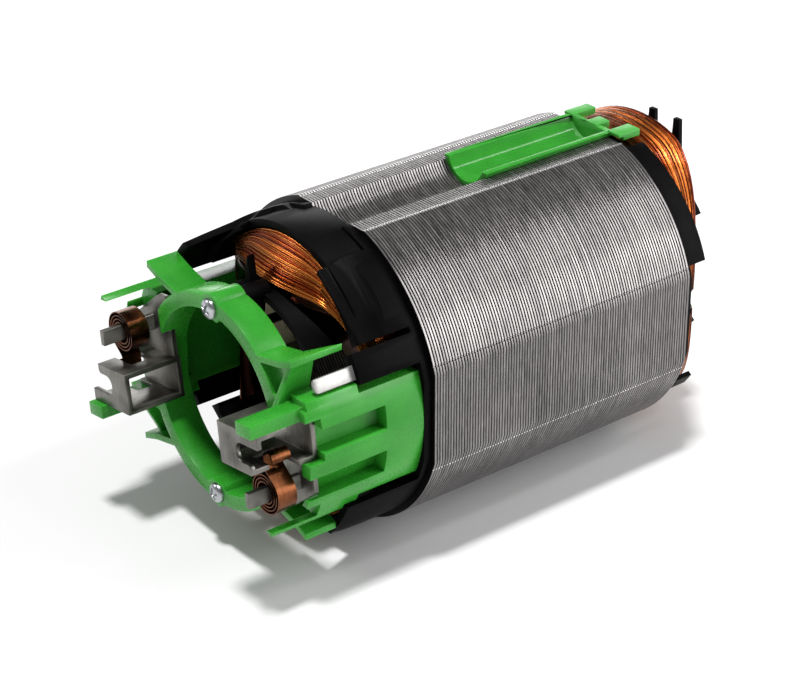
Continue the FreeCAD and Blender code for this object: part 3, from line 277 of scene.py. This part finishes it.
def plainMetal(name, look, stainSize=5.56):
    # Sheet or wire metal, rolled or plated: faint rolling lines and a slightly uneven sheen.
    material, tree, shader, place = newMaterial(name, {"Metallic": look["metallic"]})
    stretch = addNode(
        tree, "ShaderNodeMapping", {"Scale": [perMetre(size) for size in look["lines"]]},
        {"Vector": place})
    lines = addNode(
        tree, "ShaderNodeTexNoise", {"Scale": 1.0, "Detail": 4.0, "Roughness": 0.65},
        {"Vector": stretch.outputs[0]})
    stain = addNode(
        tree, "ShaderNodeTexNoise", {"Scale": perMetre(stainSize), "Detail": 3.0},
        {"Vector": place})
    blend = addNode(
        tree, "ShaderNodeMath", {"operation": "MULTIPLY_ADD", 1: 0.5},
        {0: lines.outputs["Fac"], 2: stain.outputs["Fac"]})
    ramp = addNode(tree, "ShaderNodeValToRGB", links={"Fac": blend.outputs[0]})
    setRamp(ramp, [(0.5, look["dark"]), (0.95, look["light"])])
    rough = addNode(
        tree, "ShaderNodeMapRange",
        {"From Min": 0.3, "From Max": 0.7,
         "To Min": look["rough"] - 0.07, "To Max": look["rough"] + 0.1},
        {"Value": stain.outputs["Fac"]})
    bump = addNode(
        tree, "ShaderNodeBump", {"Strength": 0.25, "Distance": 0.02 * mm},
        {"Height": lines.outputs["Fac"]})
    linkSurface(tree, shader, {"Base Color": ramp.outputs["Color"], "Roughness": rough.outputs[0],
                               "Normal": bump.outputs[0]})
    return material


def slotPaper():
    # Insulating paper, pressed and cut: off-white, dry, with short fibres.
    look = {"dark": "#b9ad8c", "light": "#d8cfb2", "fibre": 0.4}
    material, tree, shader, place = newMaterial("slotPaper", {"Roughness": 0.85})
    fibre = addNode(
        tree, "ShaderNodeTexNoise", {"Scale": perMetre(look["fibre"]), "Detail": 5.0},
        {"Vector": place})
    ramp = addNode(tree, "ShaderNodeValToRGB", links={"Fac": fibre.outputs["Fac"]})
    setRamp(ramp, [(0.3, look["dark"]), (0.7, look["light"])])
    bump = addNode(
        tree, "ShaderNodeBump", {"Strength": 0.4, "Distance": 0.03 * mm},
        {"Height": fibre.outputs["Fac"]})
    linkSurface(tree, shader, {"Base Color": ramp.outputs["Color"], "Normal": bump.outputs[0]})
    return material


steel = stampedSteel()
blackNylon = mouldedNylon("blackGlassFilledNylon", {
    "dark": "#040304", "light": "#080708", "rough": 0.48, "ior": 1.48, "sheen": 0.04,
    "bump": 0.5, "flow": 6.0, "grain": 0.25})
greenLook = {
    "dark": "#278622", "light": "#32942b", "rough": 0.28, "ior": 1.53, "sheen": 0.32,
    "bump": 0.25, "flow": 9.0, "grain": 0.3, "glow": 0.25, "glowDepth": 1.5}
greenNylon = mouldedNylon("greenMouldedNylon", greenLook)
# The liner comes from a polished mould: its trough is glossy, and its lugs past the stack are matt.
glossNylon = mouldedNylon("glossyGreenNylon", {
    **greenLook, "rough": 0.13, "sheen": 0.5, "bump": 0.05, "matteFrom": 31.2, "matteBy": 0.36})
copper = enamelledCopper()
# Tinned sheet, punched and folded: dull grey, with rolling lines along the box.
holderMetal = plainMetal("tinnedHolderSheet", {
    "dark": "#504f4b", "light": "#827f79", "rough": 0.36, "metallic": 0.9,
    "lines": (3.33, 0.625, 3.33)})
# Spring strip, rolled thin and coiled: brown copper, with a bright line on each bend.
springMetal = plainMetal("copperColouredSpringStrip", {
    "dark": "#301b10", "light": "#7e4c30", "rough": 0.26, "metallic": 1.0,
    "lines": (0.417, 3.33, 3.33)})
# Tinned blade, punched: pale, nearly white in the light.
tabMetal = plainMetal("tinnedContactBlade", {
    "dark": "#8d8c8a", "light": "#b0afad", "rough": 0.36, "metallic": 0.55,
    "lines": (1.11, 1.11, 1.11)})
# Zinc-plated steel, cold headed: bright and a little blue.
zinc = plainMetal("zincPlatedScrew", {
    "dark": "#8d9094", "light": "#c6c9cb", "rough": 0.30, "metallic": 1.0,
    "lines": (1.25, 1.25, 1.25)})
paper = slotPaper()
print("materials ready")


# Lamination stack

def onCircle(centre, radius, degrees):
    turn = math.radians(degrees)
    return (centre[0] + radius * math.cos(turn), centre[1] + radius * math.sin(turn))


def arcPoints(centre, radius, start, end, steps):
    return [onCircle(centre, radius, start + (end - start) * i / steps) for i in range(steps + 1)]


def quarterToLoop(quarter):
    # mirrors the first quarter (y > 0, z > 0, from the y axis to the z axis) into a closed loop
    same = 1e-4  # points nearer than this are one
    upper = quarter + [(-y, z) for y, z in reversed(quarter)]
    lower = [(-y, -z) for y, z in upper]
    loop = []
    for point in upper + lower:
        if not loop or (Vector(point) - Vector(loop[-1])).length > same:
            loop.append(point)
    if (Vector(loop[0]) - Vector(loop[-1])).length < same:
        loop.pop()
    return loop


def stackLoops():
    # one quarter of a sheet's outside runs over flat, seam, round back, crest, land and channel,
    # and one quarter of its inside over yoke, back of the pole tip, and bore
    s = stackSize
    axis = (0, 0)
    steps = {"back": 15, "crest": 6, "channel": 9, "yoke": 12, "tip": 6, "bore": 16}
    crease = math.degrees(math.acos(s["halfFlat"] / s["radius"]))
    flatEnd = s["radius"] * math.sin(math.radians(crease))
    outer = [(s["halfFlat"], share * flatEnd) for share in (0.0, 0.35, 0.7, 0.96)]
    seamStart, seamIn, seamOut, seamEnd = (crease + turn for turn in s["seamTurns"])
    outer += [onCircle(axis, s["radius"], turn) for turn in (crease, seamStart)]
    outer += [onCircle(axis, s["radius"] - s["seam"], turn) for turn in (seamIn, seamOut)]
    inset = s["radius"] - s["crest"]
    crestTurn = math.degrees(math.acos((s["halfLand"] + s["crest"]) / inset))
    crestCentre = onCircle(axis, inset, crestTurn)
    outer += arcPoints(axis, s["radius"], seamEnd, crestTurn, steps["back"])
    outer += arcPoints(crestCentre, s["crest"], crestTurn + 14, 180, steps["crest"])
    landLevel = math.sqrt(s["radius"] ** 2 - s["halfLand"] ** 2) - s["landStep"]
    centre = s["channelFloor"] + s["channel"]
    lip = math.degrees(math.asin((centre - landLevel) / s["channel"]))
    outer.append((s["halfLand"], landLevel))
    outer += arcPoints((0, centre), s["channel"], -lip, -90, steps["channel"])
    mouth = math.degrees(math.asin(s["halfMouth"] / s["bore"]))
    mouthBack = math.degrees(math.asin(s["halfMouth"] / s["tipBack"]))
    poleInner = math.degrees(math.acos(s["halfPole"] / s["tipBack"]))
    poleOuter = math.degrees(math.acos(s["halfPole"] / s["yokeInner"]))
    inner = arcPoints(axis, s["yokeInner"], 0, poleOuter, steps["yoke"])
    inner += arcPoints(axis, s["tipBack"], poleInner, mouthBack, steps["tip"])
    inner += arcPoints(axis, s["bore"], mouth, 90, steps["bore"])
    return quarterToLoop(outer), quarterToLoop(inner)


def loopNormals(loop):
    normals = []
    for before, after in zip(loop[-1:] + loop[:-1], loop[1:] + loop[:1]):
        along = (Vector(after) - Vector(before)).normalized()
        normals.append(Vector((along.y, -along.x)))
    return normals


def buildStack():
    # each sheet has burred edges and a place a little off the others, and a narrower ring
    # between two sheets makes the gap
    s = stackSize
    outer, inner = stackLoops()
    normals = loopNormals(outer)
    bm = bmesh.new()
    pitch = s["length"] / s["sheets"]
    rings = []
    for sheet in range(s["sheets"]):
        x = -s["length"] / 2 + sheet * pitch
        stray = -random.random() * s["stray"]
        shift = Vector((random.uniform(-1, 1), random.uniform(-1, 1))) * s["stray"] * 0.5
        last = sheet == s["sheets"] - 1
        start = x if sheet == 0 else x + s["gap"] / 2
        end = x + pitch if last else x + pitch - s["gap"] / 2
        steps = [(start, s["burr"]), (start + s["burr"], 0), (end - s["burr"], 0), (end, s["burr"])]
        if not last:
            steps.append((x + pitch, s["gapDepth"]))
        for place, deep in steps:
            ring = []
            for (y, z), normal in zip(outer, normals):
                point = Vector((y, z)) + normal * (stray - deep)
                # the round back keeps its place, so that no sheet leaves the stack's box
                if deep < s["gapDepth"] and point.length < s["radius"] - s["roundFrom"]:
                    point += shift
                point.x = min(max(point.x, -s["halfFlat"]), s["halfFlat"])
                ring.append(bm.verts.new((place * mm, point.x * mm, point.y * mm)))
            rings.append(ring)
    for a, b in zip(rings, rings[1:]):
        bridge(bm, a, b)
    holes = [[bm.verts.new((x * mm, y * mm, z * mm)) for y, z in inner]
             for x in (-s["length"] / 2, s["length"] / 2)]
    bridge(bm, *holes)
    for ring, hole in zip((rings[0], rings[-1]), holes):
        edges = []
        for loop in (ring, hole):
            for pair in zip(loop, loop[1:] + loop[:1]):
                edges.append(bm.edges.get(pair) or bm.edges.new(pair))
        bmesh.ops.triangle_fill(bm, edges=edges, use_beauty=True)
    bmesh.ops.recalc_face_normals(bm, faces=bm.faces)
    return meshFromBmesh("laminationSheets", bm, 35)


addPiece("laminationSheets", buildStack(), steel, ["lamination_stack"])
print("lamination stack built")


# Moulded and folded pieces

brokenEdge = {"weld": 0.002, "level": 1.0, "sharp": 38, "smooth": 32, "segments": 2}  # mm, degrees
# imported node, width of the broken edge, piece, material, slot
softened = [
    ("brush_carrier", 0.32, "carrierMoulding", greenNylon, "green_moulding"),
    ("channel_liner", 0.18, "channelLinerMoulding", glossNylon, "green_moulding"),
    ("front_insulator", 0.18, "frontInsulatorMoulding", blackNylon, "black_moulding"),
    ("rear_insulator", 0.18, "rearInsulatorMoulding", blackNylon, "black_moulding"),
    ("brush_holder_right", 0.12, "holderSheetRight", holderMetal, "holder_sheet"),
    ("brush_holder_left", 0.12, "holderSheetLeft", holderMetal, "holder_sheet"),
    ("contact_tab_right", 0.15, "contactBladeRight", tabMetal, "tinned_tab"),
    ("contact_tab_left", 0.15, "contactBladeLeft", tabMetal, "tinned_tab"),
]


def packedBmesh(node):
    bm = bmesh.new()
    bm.from_mesh(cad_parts[node].data)
    bmesh.ops.remove_doubles(bm, verts=bm.verts, dist=brokenEdge["weld"] * mm)
    return bm


def softenedCopy(node, width, name):
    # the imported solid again, with its edges broken as a mould or a press leaves them
    bm = packedBmesh(node)
    bmesh.ops.dissolve_limit(
        bm, angle_limit=math.radians(brokenEdge["level"]), verts=bm.verts, edges=bm.edges)
    sharpAngle = math.radians(brokenEdge["sharp"])
    sharp = [e for e in bm.edges if len(e.link_faces) == 2 and e.calc_face_angle(0) > sharpAngle]
    bmesh.ops.bevel(
        bm, geom=sharp, offset=width * mm, offset_type="OFFSET", segments=brokenEdge["segments"],
        profile=0.5, clamp_overlap=True, affect="EDGES", material=-1)
    bmesh.ops.triangulate(bm, faces=bm.faces)
    return meshFromBmesh(name, bm, brokenEdge["smooth"])


for node, width, name, material, slotName in softened:
    addPiece(name, softenedCopy(node, width, name), material, [node])
print("mouldings and sheet parts built")

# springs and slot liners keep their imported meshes
for node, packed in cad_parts.items():
    if node.startswith(("brush_spring", "slot_liner")):
        packed.data.materials.clear()
        packed.data.materials.append(paper if node.startswith("slot_liner") else springMetal)


# Screws

# place is how far each screw lies from the axis, fall how round its dome is, and reach the
# length of an arm of the cross
screwSize = {
    "place": 19.4, "seat": -59.25, "top": -60.45, "tip": -49.25, "point": 0.5, "headRadius": 1.95,
    "round": 0.75, "fall": 0.92, "shank": 1.1, "cross": 0.30, "reach": 1.15, "crossDepth": 0.55,
    "spin": 24, "sides": 72, "headRings": 16}


def buildScrews():
    # two round-headed screws, and each head is a polar grid that follows dome and cross recess
    d = screwSize
    turns = [2 * math.pi * k / d["sides"] for k in range(d["sides"])]
    bm = bmesh.new()
    for sign in (1, -1):
        height = sign * d["place"]
        spin = math.radians(d["spin"] * sign)
        centre = bm.verts.new(((d["top"] + d["crossDepth"]) * mm, 0, height * mm))
        last = None
        for step in range(1, d["headRings"] + 1):
            radius = d["headRadius"] * step / d["headRings"]
            dome = 1 - math.sqrt(1 - (radius / d["headRadius"]) ** 2 * d["fall"])
            rise = d["round"] * dome / (1 - math.sqrt(1 - d["fall"]))
            narrow = d["cross"] * (1 - 0.25 * radius / d["reach"])
            sunk = d["crossDepth"] * (1 - 0.5 * radius / d["reach"])
            ring = []
            for turn in turns:
                y, z = radius * math.cos(turn), radius * math.sin(turn)
                u = abs(y * math.cos(spin) + z * math.sin(spin))
                v = abs(z * math.cos(spin) - y * math.sin(spin))
                inCross = min(u, v) < narrow and max(u, v) < d["reach"]
                x = d["top"] + (sunk if inCross else 0) + rise
                ring.append(bm.verts.new((x * mm, y * mm, (height + z) * mm)))
            if last:
                bridge(bm, last, ring)
            else:
                for pair in zip(ring, ring[1:] + ring[:1]):
                    bm.faces.new((centre, *pair))
            last = ring
        shank = [(d["seat"], d["headRadius"]), (d["seat"], d["shank"]),
                 (d["tip"] - d["point"], d["shank"]), (d["tip"], d["shank"] * 0.6)]
        for x, radius in shank:
            ring = [bm.verts.new((x * mm, radius * math.cos(turn) * mm,
                                  (height + radius * math.sin(turn)) * mm)) for turn in turns]
            bridge(bm, last, ring)
            last = ring
        bm.faces.new(last)
    bmesh.ops.recalc_face_normals(bm, faces=bm.faces)
    return meshFromBmesh("crossRecessScrews", bm, 40)


addPiece("crossRecessScrews", buildScrews(), zinc, ["carrier_screws"])
print("screws built")


# Windings

# pull draws a head's wires from arcs towards straight chords, and shade is how dark they may be
coilSize = {
    "centre": 4.7, "inner": 20.6, "wire": 0.46, "inset": 0.6, "core": 1.1, "shadeHeight": 12.0,
    "front": {"rise": 24.0, "reach": 15.0, "start": 2.2, "slope": 9.2, "depth": 5.0,
              "sweep": 31.8, "pull": 0.85, "shade": (0.0, 0.62)},
    # the rear head's wires are drawn darker overall, painted shade for a head that gets less light;
    # within each range the tone differs at random
    "rear": {"rise": 25.35, "reach": 16.3, "start": 1.8, "slope": 3.5, "depth": 1.6,
             "sweep": 38.3, "pull": 0.15, "shade": (0.15, 0.85)}}
# how the strands lie: shares of a head's height and depth, degrees, and millimetres
strandLay = {
    "layers": 24, "faceDepths": (1.0, 0.97, 0.93), "faceLoose": 0.4,
    "rows": 34, "skinLayers": (1.0, 0.96), "skinLoose": 0.3,
    "start": (-12, -7), "end": (187, 192), "tilt": 0.03, "slant": 0.9, "wobble": 0.12,
    "waves": (9, 7), "waveDeep": 0.3, "narrower": 2.4, "blunt": 0.9, "lowest": 0.5,
    "nearest": 0.2, "tuck": 0.35, "steps": 36, "sides": 6}


def addTube(bm, points, radius, tone):
    # a round wire along the points, closed at both ends
    mark = bm.verts.layers.float["depth"]
    turns = [2 * math.pi * k / strandLay["sides"] for k in range(strandLay["sides"])]
    rings = []
    across = None
    for i, point in enumerate(points):
        along = (points[min(i + 1, len(points) - 1)] - points[max(i - 1, 0)]).normalized()
        if across is None:
            across = along.orthogonal().normalized()
        across = (across - along * across.dot(along)).normalized()
        other = along.cross(across)
        spokes = [(across * math.cos(turn) + other * math.sin(turn)) * radius for turn in turns]
        rings.append([bm.verts.new(point + spoke) for spoke in spokes])
        for vertex in rings[-1]:
            # painted shade: the lower a wire runs towards the slots, the darker it is drawn
            lowShade = 1 - (vertex.co.z / (coilSize["shadeHeight"] * mm)) ** 2
            vertex[mark] = max(tone, lowShade)
    for a, b in zip(rings, rings[1:]):
        bridge(bm, a, b)
    bm.faces.new(list(reversed(rings[0])))
    bm.faces.new(rings[-1])


def headDepth(end, y, z):
    # how far a coil head reaches out from the stack at one place of its face
    sizes = coilSize[end]
    fromCentre = math.hypot(y, z - coilSize["centre"])
    past = max(0, fromCentre - (sizes["rise"] - sizes["slope"]))
    face = sizes["reach"] - past * sizes["depth"] / sizes["slope"]
    plan = math.sqrt(sizes["sweep"] ** 2 - y ** 2) - (sizes["sweep"] - sizes["reach"])
    return min(face, plan)


def strand(end, layer, depth, pull):
    # one turn of wire over a pole, from slot to slot
    sizes, lay = coilSize[end], strandLay
    tilt = random.uniform(-lay["tilt"], lay["tilt"]) * (1 + 2 * pull)
    slant = random.uniform(-lay["slant"], lay["slant"])
    phase, wobble = random.uniform(0, 6.28), random.uniform(0.0, lay["wobble"])
    upWaves, deepWaves = lay["waves"]
    first, last = random.uniform(*lay["start"]), random.uniform(*lay["end"])
    inset = coilSize["wire"] * coilSize["inset"]
    crown = sizes["rise"] - inset
    centre, low = coilSize["centre"], coilSize["inner"]
    top = low + layer * (centre + crown - low)
    wide = crown - (1 - layer) * lay["narrower"]
    half = stackSize["length"] / 2
    points = []
    for i in range(lay["steps"] + 1):
        t = i / lay["steps"]
        angle = math.radians(first + (last - first) * t)
        # a chord with blunt corners, and an arc between the bore's former and the crown
        chordY, sideZ = -wide * math.cos(angle), centre + wide * math.sin(angle)
        level = top + slant * (t - 0.5) * pull
        chordZ = level - lay["blunt"] * math.log(1 + math.exp((level - sideZ) / lay["blunt"]))
        hollow = math.sqrt(low ** 2 - (centre * math.cos(angle)) ** 2) - centre * math.sin(angle)
        radius = hollow + layer * (crown - hollow)
        arcY, arcZ = -radius * math.cos(angle), centre + radius * math.sin(angle)
        y = pull * chordY + (1 - pull) * arcY
        z = pull * chordZ + (1 - pull) * arcZ
        z += wobble * math.sin(upWaves * t + phase)
        # kept under the crown and off the former
        fromCentre = math.hypot(y, z - centre)
        if fromCentre > crown:
            y, z = y * crown / fromCentre, centre + (z - centre) * crown / fromCentre
        fromAxis = math.hypot(y, z)
        if fromAxis < low:
            y, z = y * low / fromAxis, z * low / fromAxis
        z = max(z, lay["lowest"])
        sway = wobble * lay["waveDeep"] * math.cos(deepWaves * t + phase)
        share = depth + tilt * (t - 0.5) + sway
        reach = headDepth(end, y, z) - inset
        out = sizes["start"] + min(max(share, 0.0), 1.0) * (reach - sizes["start"])
        out = max(out, lay["nearest"])
        if i in (0, lay["steps"]):
            out *= lay["tuck"]
        x = -half - out if end == "front" else half + out
        points.append(Vector((x * mm, y * mm, z * mm)))
    return points


def buildCoil(name, node, flip):
    # the imported solid drawn in by a wire's width as a dark core, which is painted shade, and
    # the visible wires over it
    halfTurn = Matrix.Rotation(math.pi, 4, "X")
    lay = strandLay
    bm = packedBmesh(node)
    if flip:
        bm.transform(halfTurn)
    bm.normal_update()
    mark = bm.verts.layers.float.new("depth")
    for vertex in bm.verts:
        vertex.co -= vertex.normal * coilSize["wire"] * coilSize["core"] * mm
        # painted shade: the core takes the darkest colour
        vertex[mark] = 1.0
    radius = coilSize["wire"] / 2 * mm
    for end in ("front", "rear"):
        pull, shade = coilSize[end]["pull"], coilSize[end]["shade"]
        for layer in range(lay["layers"]):
            for depth in lay["faceDepths"]:
                loose = random.uniform(-lay["faceLoose"], lay["faceLoose"])
                height = min(max((layer + loose) / (lay["layers"] - 1), 0), 1)
                addTube(bm, strand(end, height, depth, pull), radius, random.uniform(*shade))
        for row in range(lay["rows"]):
            for height in lay["skinLayers"]:
                loose = random.uniform(-lay["skinLoose"], lay["skinLoose"])
                depth = (row + loose) / lay["rows"]
                addTube(bm, strand(end, height, depth, 0.0), radius, random.uniform(*shade))
    if flip:
        bm.transform(halfTurn)
    bm.normal_update()
    return meshFromBmesh(name, bm, 180)


windings = (("upperWinding", "upper_coil", False), ("lowerWinding", "lower_coil", True))
for name, node, flip in windings:
    addPiece(name, buildCoil(name, node, flip), copper, [node])
print("windings built")


# Floor, light and camera

# sizes, places and distances are in metres, angles in degrees, and the focal length in pixels
floorSize = {"half": 20.0, "level": -0.0305604, "paintedShadeTo": 0.12, "paintedLightFrom": 0.6}
# the card near the part is grey, painted shade for its shadow, and the far card white, painted
# light
studio = {"paintedCard": "#dadada", "farPaintedCard": "#ffffff", "surround": "#fafafa", "surroundStrength": 0.24}
sun = {"place": (-0.10, -0.02, 1.0), "angle": 8, "strength": 3.1}
# place, target, the panel's two sides, power in watts
softboxes = {
    "frontSoftbox": ((0.40, -0.55, 0.17), (0, 0, 0), (0.36, 0.32), 1.9),
    "highSoftbox": ((0.62, -0.52, 0.47), (0.02, 0, 0), (0.56, 0.50), 3.5),
    "backSoftbox": ((0.57, 0.76, 0.22), (0, 0, 0), (0.46, 0.40), 2.2),
    "leftSoftbox": ((-0.60, 0.62, 0.44), (-0.04, 0, 0), (0.22, 0.22), 1.8),
    "stripSoftbox": ((0.50, -0.31, 0.66), (0, 0, 0), (0.90, 0.06), 1.4)}
# right and up are the picture's own directions
photoView = {
    "place": (-0.278599, -0.332077, 0.224621), "right": (0.78336, -0.62157, -0.00167),
    "up": (0.29560, 0.37017, 0.88068), "focal": 2478.54, "width": 800, "near": 0.01, "far": 10.0}


def buildFloor():
    bm = bmesh.new()
    bmesh.ops.create_grid(bm, x_segments=2, y_segments=2, size=floorSize["half"])
    bmesh.ops.translate(bm, verts=bm.verts, vec=(0, 0, floorSize["level"]))
    mesh = bpy.data.meshes.new("paleFloor")
    bm.to_mesh(mesh)
    bm.free()
    floor = addObject("paleFloor", mesh)
    # Matt studio card, grey under the part, painted shade where its shadow lies, fading into white
    # card farther off, painted light where the lamps' light falls off.
    material, tree, shader, place = newMaterial(
        "whiteStudioCard", {"Roughness": 0.9, "Specular IOR Level": 0.1})
    away = addNode(tree, "ShaderNodeVectorMath", {"operation": "LENGTH"}, {0: place})
    fade = addNode(
        tree, "ShaderNodeMapRange",
        {"From Min": floorSize["paintedShadeTo"], "From Max": floorSize["paintedLightFrom"]},
        {"Value": away.outputs["Value"]})
    paintedCard = addNode(
        tree, "ShaderNodeMix",
        {"data_type": "RGBA", 6: linearColour(studio["paintedCard"]), 7: linearColour(studio["farPaintedCard"])},
        {0: fade.outputs[0]})
    linkSurface(tree, shader, {"Base Color": paintedCard.outputs[2]})
    mesh.materials.append(material)


def buildWorld():
    world = bpy.data.worlds.new("studioSurround")
    bpy.context.scene.world = world
    world.use_nodes = True
    tree = world.node_tree
    tree.nodes.clear()
    back = addNode(tree, "ShaderNodeBackground", {
        "Color": linearColour(studio["surround"]), "Strength": studio["surroundStrength"]})
    addNode(tree, "ShaderNodeOutputWorld", links={"Surface": back.outputs[0]})


def addSun(name):
    lamp = bpy.data.lights.new(name, "SUN")
    lamp.angle = math.radians(sun["angle"])
    lamp.energy = sun["strength"]
    addObject(name, lamp).rotation_euler = Vector(sun["place"]).to_track_quat("Z", "Y").to_euler()


def addSoftbox(name, place, target, size, power):
    lamp = bpy.data.lights.new(name, "AREA")
    lamp.shape = "RECTANGLE"
    lamp.size, lamp.size_y = size
    lamp.energy = power
    holder = addObject(name, lamp)
    holder.location = place
    holder.visible_camera = False
    # the first side of each panel runs along the motor axis
    back = (Vector(place) - Vector(target)).normalized()
    side = (Vector((1, 0, 0)) - back * back.x).normalized()
    holder.rotation_euler = Matrix((side, back.cross(side), back)).transposed().to_euler()


def addCamera():
    data = bpy.data.cameras.new("photoCamera")
    data.sensor_width = 36.0  # mm
    data.sensor_fit = "HORIZONTAL"
    data.lens = photoView["focal"] / photoView["width"] * data.sensor_width
    data.clip_start, data.clip_end = photoView["near"], photoView["far"]
    camera = addObject("photoCamera", data)
    right, up = Vector(photoView["right"]), Vector(photoView["up"])
    turn = Matrix((right, up, right.cross(up))).transposed().to_4x4()
    camera.matrix_world = Matrix.Translation(photoView["place"]) @ turn
    bpy.context.scene.camera = camera


buildFloor()
buildWorld()
addSun("overheadLamp")
for name, panel in softboxes.items():
    addSoftbox(name, *panel)
addCamera()
bpy.context.scene.view_settings.view_transform = "Standard"
print("stage ready")
